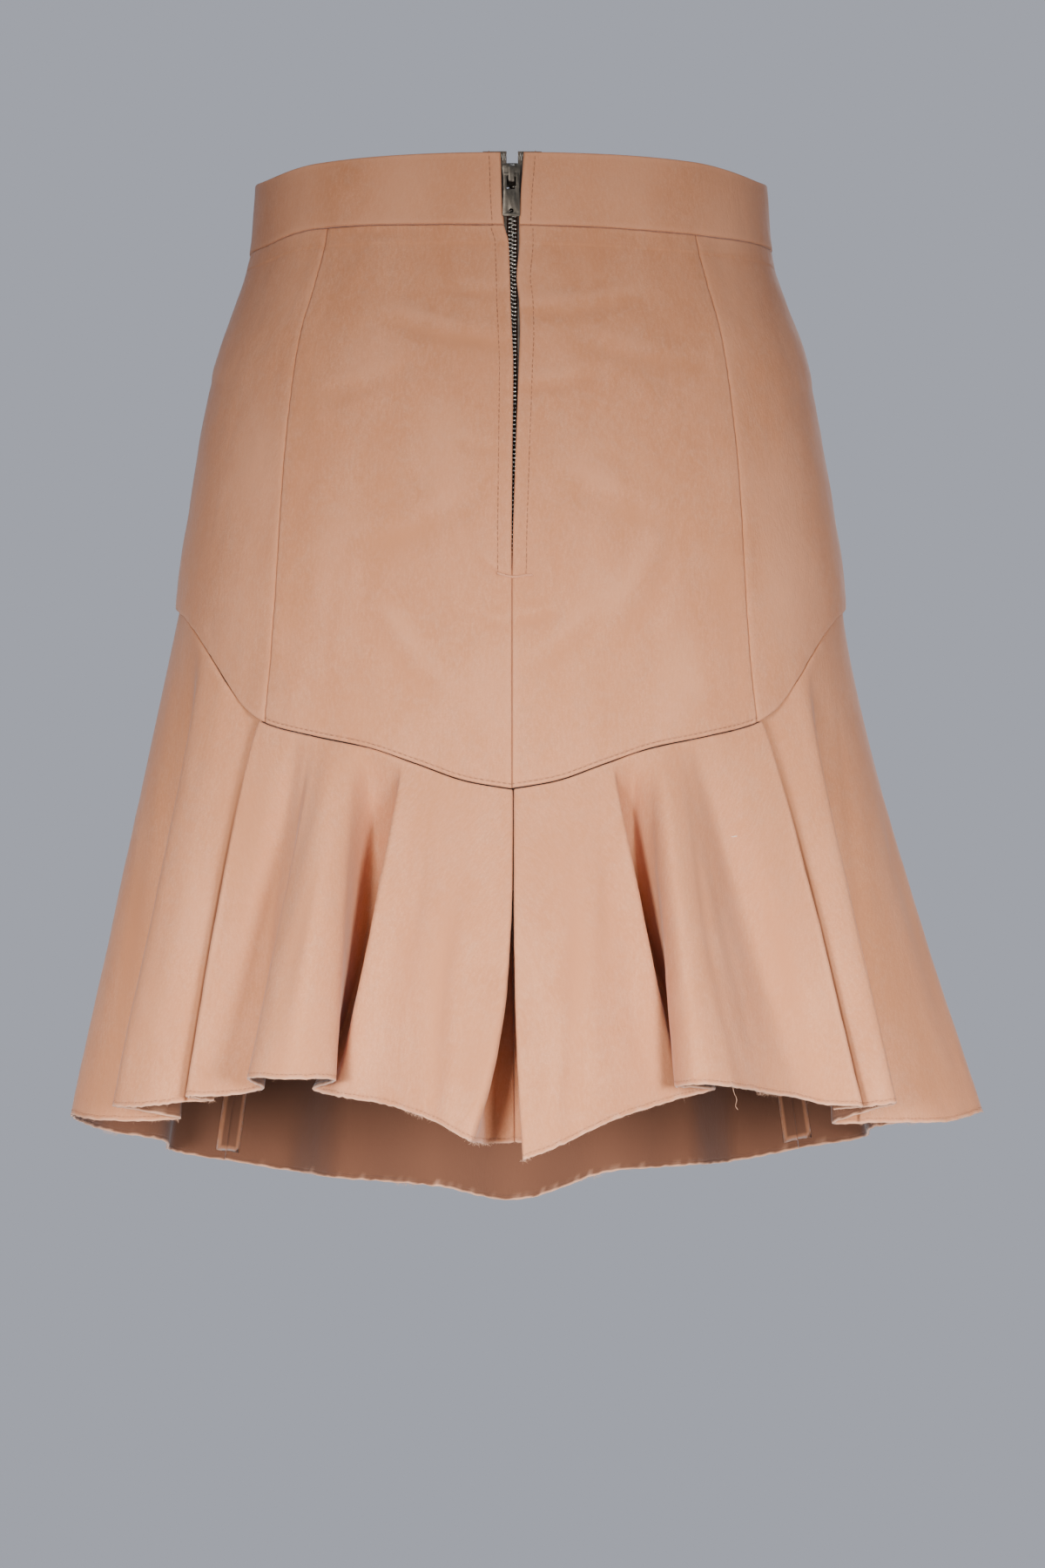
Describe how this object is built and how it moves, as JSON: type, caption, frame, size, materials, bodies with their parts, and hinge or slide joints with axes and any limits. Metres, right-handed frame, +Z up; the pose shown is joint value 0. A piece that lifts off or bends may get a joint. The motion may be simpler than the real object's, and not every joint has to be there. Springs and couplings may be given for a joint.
{
  "type": "mini skirt",
  "caption": "Fitted cotton mini skirt with a waistband, a shaped hip yoke, a pleated flared flounce and an exposed metal zip down the back.",
  "frame": {"origin": "centre of the waistband's ring, halfway up the band, where the waist holds the skirt", "axes": "+Z up out of the waist, -Y out of the centre back (the zip), +X to the right of the back as one looks at it"},
  "size_m": [0.4546, 0.3096, 0.5162],
  "materials": {
    "brushed_cotton": "matte, brushed",
    "zip_tape": "matte, woven",
    "zip_teeth": "bright nickel",
    "dark_nickel": "dark, satin"
  },
  "bodies": {
    "skirt": {"waistband": "brushed_cotton", "back_panel_left": "brushed_cotton", "back_panel_right": "brushed_cotton", "side_panel_left": "brushed_cotton", "side_panel_right": "brushed_cotton", "front_panel": "brushed_cotton", "flounce_back_left": "brushed_cotton", "flounce_back_right": "brushed_cotton", "flounce_side_left": "brushed_cotton", "flounce_side_right": "brushed_cotton", "flounce_front": "brushed_cotton", "zip_tape_left": "zip_tape", "zip_tape_right": "zip_tape", "zip_chain": "zip_teeth", "zip_stop": "zip_teeth", "zip_slider": "dark_nickel"},
    "pull": {"zip_pull": "dark_nickel"}
  },
  "joints": [
    {"name": "pull_swing", "type": "hinge", "parent": "skirt", "child": "pull", "pos_m": [0.0003, -0.09928, 0.0066], "axis": [-1, 0, 0], "range_deg": [0, 160]}
  ]
}
